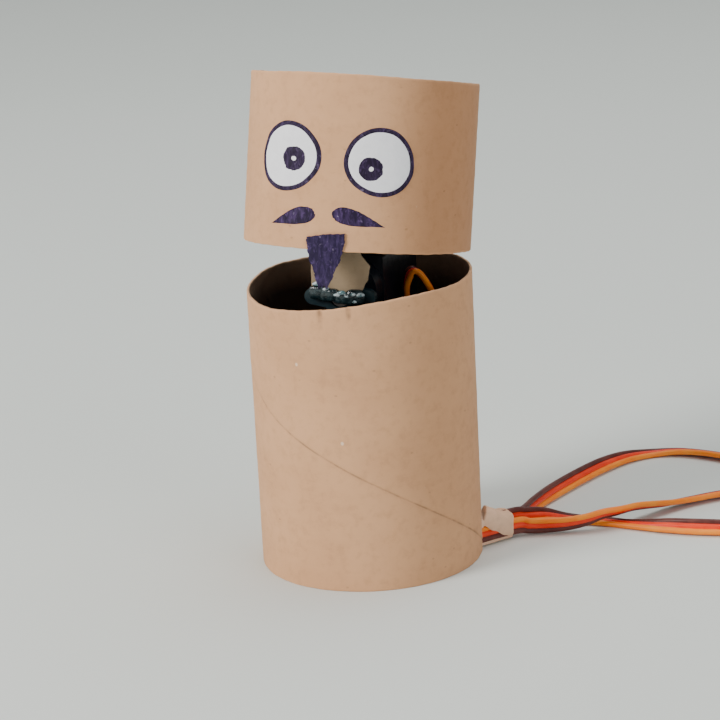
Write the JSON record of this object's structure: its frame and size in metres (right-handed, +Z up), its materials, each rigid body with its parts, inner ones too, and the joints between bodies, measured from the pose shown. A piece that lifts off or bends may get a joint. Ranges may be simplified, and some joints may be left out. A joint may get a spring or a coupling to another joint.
{
  "type": "hobby servo puppet",
  "caption": "Card-tube puppet moved by micro servos inside it: the head turns, leans and nods on a short card neck above an open body tube.",
  "frame": {"origin": "centre of the foam board base's underside, on the table", "axes": "+Z up along the body tube, the face looks along -Y, the leads leave towards +X and +Y"},
  "size_m": [0.1252, 0.0949, 0.1015],
  "materials": {
    "card": "matte grey-brown card",
    "foam_board": "matte",
    "white_paper": "matte",
    "purple_paper": "matte, marker ink",
    "strip_card": "matte, torn edge",
    "case_plastic": "translucent blue",
    "gear_plastic": "natural nylon",
    "steel": "bright",
    "brass": "turned",
    "board": "green laminate",
    "pot": "dark",
    "horn_plastic": "dark blue-green nylon",
    "lead": "three PVC wires, brown, red and orange",
    "plug": "black"
  },
  "bodies": {
    "base": {"body_tube": "card", "base_disc": "foam_board", "cable_wrap": "card", "turn_lead_inner": "lead", "turn_lead": "lead", "tilt_lead": "lead", "nod_lead": "lead", "turn_plug": "plug", "tilt_plug": "plug", "nod_plug": "plug", "turn_case_bottom": "case_plastic", "turn_case_body": "case_plastic", "turn_case_top": "case_plastic", "turn_motor": "steel", "turn_board": "board", "turn_pot": "pot", "turn_pins": "steel"},
    "turn": {"turn_output": "gear_plastic", "turn_horn": "horn_plastic", "turn_horn_screw": "steel", "tilt_lead_slack": "lead", "nod_lead_slack": "lead", "tilt_case_bottom": "case_plastic", "tilt_case_body": "case_plastic", "tilt_case_top": "case_plastic", "tilt_motor": "steel", "tilt_board": "board", "tilt_pot": "pot", "tilt_pins": "steel"},
    "tilt": {"tilt_output": "gear_plastic", "tilt_horn": "horn_plastic", "tilt_horn_screw": "steel", "neck_strip": "strip_card", "nod_lead_upper": "lead", "nod_case_bottom": "case_plastic", "nod_case_body": "case_plastic", "nod_case_top": "case_plastic", "nod_motor": "steel", "nod_board": "board", "nod_pot": "pot", "nod_pins": "steel"},
    "nod": {"nod_output": "gear_plastic", "nod_horn": "horn_plastic", "nod_horn_screw": "steel", "head_tube": "card", "paper_eyes": "white_paper", "beard_tab": "purple_paper"},
    "turn_gear_3": {"turn_gear_3": "gear_plastic"},
    "turn_gear_2": {"turn_gear_2": "gear_plastic"},
    "turn_gear_1": {"turn_gear_1": "gear_plastic"},
    "turn_pinion": {"turn_pinion": "brass"},
    "tilt_gear_3": {"tilt_gear_3": "gear_plastic"},
    "tilt_gear_2": {"tilt_gear_2": "gear_plastic"},
    "tilt_gear_1": {"tilt_gear_1": "gear_plastic"},
    "tilt_pinion": {"tilt_pinion": "brass"},
    "nod_gear_3": {"nod_gear_3": "gear_plastic"},
    "nod_gear_2": {"nod_gear_2": "gear_plastic"},
    "nod_gear_1": {"nod_gear_1": "gear_plastic"},
    "nod_pinion": {"nod_pinion": "brass"}
  },
  "joints": [
    {"name": "turn_joint", "type": "hinge", "parent": "base", "child": "turn", "pos_m": [0.0008, 0, 0], "axis": [0, 0, 1], "range_deg": [-60, 60], "deforming": ["tilt_lead_slack", "nod_lead_slack"]},
    {"name": "turn_gear_3_spin", "type": "hinge", "parent": "base", "child": "turn_gear_3", "pos_m": [-0.00507, 0, 0], "axis": [0, 0, 1], "range_deg": [-181, 181]},
    {"name": "turn_gear_2_spin", "type": "hinge", "parent": "base", "child": "turn_gear_2", "pos_m": [0.0008, 0, 0], "axis": [0, 0, 1], "range_deg": [-471.77, 471.77]},
    {"name": "turn_gear_1_spin", "type": "hinge", "parent": "base", "child": "turn_gear_1", "pos_m": [-0.00507, 0, 0], "axis": [0, 0, 1], "range_deg": [-1742.85, 1742.85]},
    {"name": "turn_pinion_spin", "type": "hinge", "parent": "base", "child": "turn_pinion", "pos_m": [-0.00978, 0, 0], "axis": [0, 0, 1], "range_deg": [-7355.46, 7355.46]},
    {"name": "tilt_joint", "type": "hinge", "parent": "turn", "child": "tilt", "pos_m": [0.0008, 0, 0.058], "axis": [0, 1, 0], "range_deg": [-7, 3], "deforming": ["nod_lead_upper"]},
    {"name": "tilt_gear_3_spin", "type": "hinge", "parent": "turn", "child": "tilt_gear_3", "pos_m": [0.0008, 0, 0.05212], "axis": [0, 1, 0], "range_deg": [-10, 22]},
    {"name": "tilt_gear_2_spin", "type": "hinge", "parent": "turn", "child": "tilt_gear_2", "pos_m": [0.0008, 0, 0.058], "axis": [0, 1, 0], "range_deg": [-55.92, 24.54]},
    {"name": "tilt_gear_1_spin", "type": "hinge", "parent": "turn", "child": "tilt_gear_1", "pos_m": [0.0008, 0, 0.05212], "axis": [0, 1, 0], "range_deg": [-88.09, 204.22]},
    {"name": "tilt_pinion_spin", "type": "hinge", "parent": "turn", "child": "tilt_pinion", "pos_m": [0.0008, 0, 0.04743], "axis": [0, 1, 0], "range_deg": [-859.02, 368.72]},
    {"name": "nod_joint", "type": "hinge", "parent": "tilt", "child": "nod", "pos_m": [0, -0.0043, 0.0765], "axis": [1, 0, 0], "range_deg": [-2, 14]},
    {"name": "nod_gear_3_spin", "type": "hinge", "parent": "tilt", "child": "nod_gear_3", "pos_m": [0, 0.00158, 0.0765], "axis": [1, 0, 0], "range_deg": [-43, 7]},
    {"name": "nod_gear_2_spin", "type": "hinge", "parent": "tilt", "child": "nod_gear_2", "pos_m": [0, -0.0043, 0.0765], "axis": [1, 0, 0], "range_deg": [-16.69, 110.85]},
    {"name": "nod_gear_1_spin", "type": "hinge", "parent": "tilt", "child": "nod_gear_1", "pos_m": [0, 0.00158, 0.0765], "axis": [1, 0, 0], "range_deg": [-407.43, 59.06]},
    {"name": "nod_pinion_spin", "type": "hinge", "parent": "tilt", "child": "nod_pinion", "pos_m": [0, 0.00628, 0.0765], "axis": [1, 0, 0], "range_deg": [-246.15, 1717.04]}
  ],
  "couplings": [
    {"joint": "turn_gear_3_spin", "follows": "turn_joint", "ratio": -3},
    {"joint": "turn_gear_2_spin", "follows": "turn_joint", "ratio": 7.8462},
    {"joint": "turn_gear_1_spin", "follows": "turn_joint", "ratio": -29.031},
    {"joint": "turn_pinion_spin", "follows": "turn_joint", "ratio": 122.57},
    {"joint": "tilt_gear_3_spin", "follows": "tilt_joint", "ratio": -3},
    {"joint": "tilt_gear_2_spin", "follows": "tilt_joint", "ratio": 7.8462},
    {"joint": "tilt_gear_1_spin", "follows": "tilt_joint", "ratio": -29.031},
    {"joint": "tilt_pinion_spin", "follows": "tilt_joint", "ratio": 122.57},
    {"joint": "nod_gear_3_spin", "follows": "nod_joint", "ratio": -3},
    {"joint": "nod_gear_2_spin", "follows": "nod_joint", "ratio": 7.8462},
    {"joint": "nod_gear_1_spin", "follows": "nod_joint", "ratio": -29.031},
    {"joint": "nod_pinion_spin", "follows": "nod_joint", "ratio": 122.57}
  ]
}
